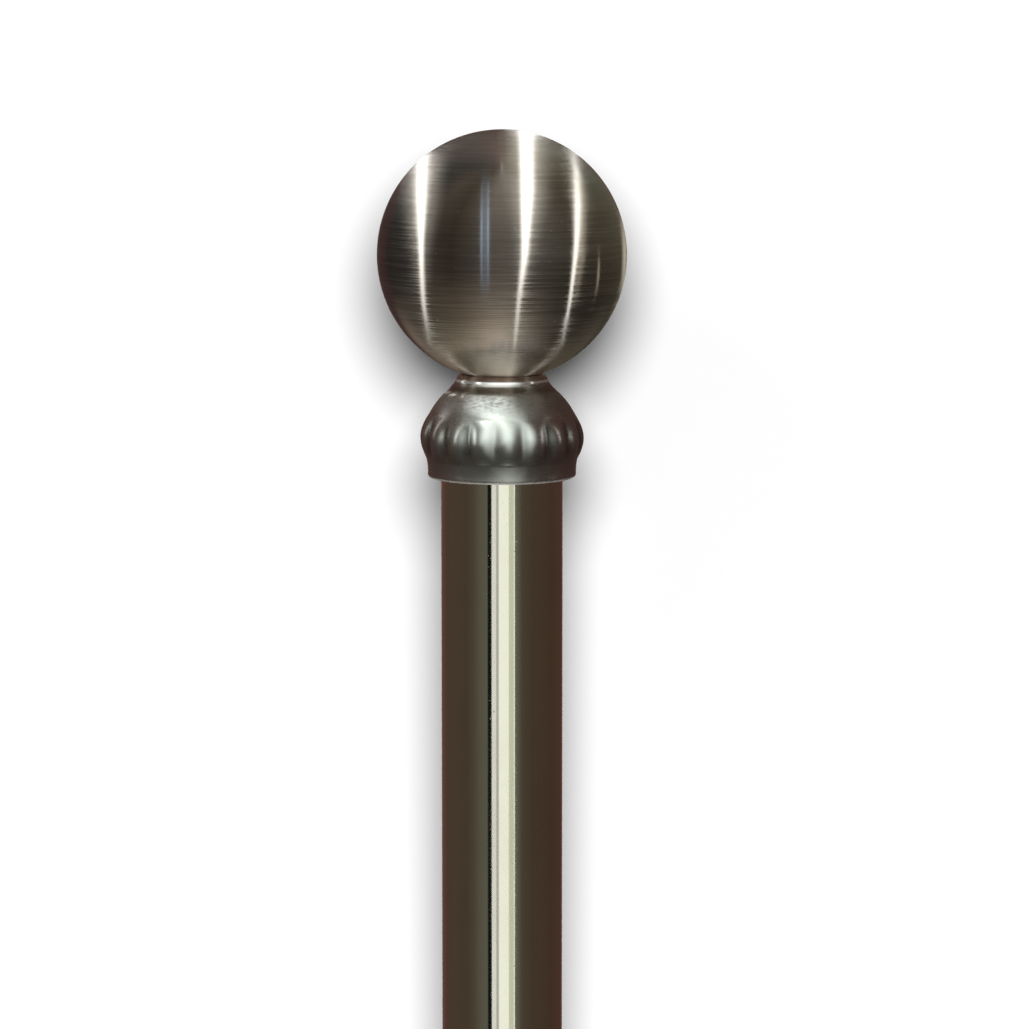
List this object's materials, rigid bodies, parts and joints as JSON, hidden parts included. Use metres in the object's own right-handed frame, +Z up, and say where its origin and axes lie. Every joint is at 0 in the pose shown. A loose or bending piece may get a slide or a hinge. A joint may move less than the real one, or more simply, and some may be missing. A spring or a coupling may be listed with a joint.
{
  "type": "flagpole",
  "caption": "Stainless steel flagpole: brushed ball finial on a gadrooned collar, polished round tube and a gusseted base plate for anchoring to the ground",
  "frame": {"origin": "centre of the base plate's underside, at ground level", "axes": "+Z up along the pole's axis; X and Y along the base plate's sides; the picture looks along +Y"},
  "size_m": [0.2, 0.2, 2.9976],
  "materials": {
    "satin_ball": "stainless steel, satin brushed round its upright axis",
    "pressed_collar": "stainless steel sheet, pressed and polished",
    "polished_tube": "stainless steel, mirror polished",
    "base_steel": "stainless steel plate, fine satin",
    "weld_metal": "stainless steel weld bead, brushed clean",
    "plain_steel": "stainless steel, as turned"
  },
  "bodies": {
    "root": {"ball_upper_half": "satin_ball", "ball_lower_half": "satin_ball", "ball_boss": "plain_steel", "finial_stud": "plain_steel", "stud_washer": "plain_steel", "stud_lock_nut": "plain_steel", "collar_cap": "pressed_collar", "tube_plug": "plain_steel", "pole_tube": "polished_tube", "foot_weld": "weld_metal", "base_plate": "base_steel", "base_gusset_1": "base_steel", "base_gusset_2": "base_steel", "base_gusset_3": "base_steel", "base_gusset_4": "base_steel"}
  },
  "joints": []
}
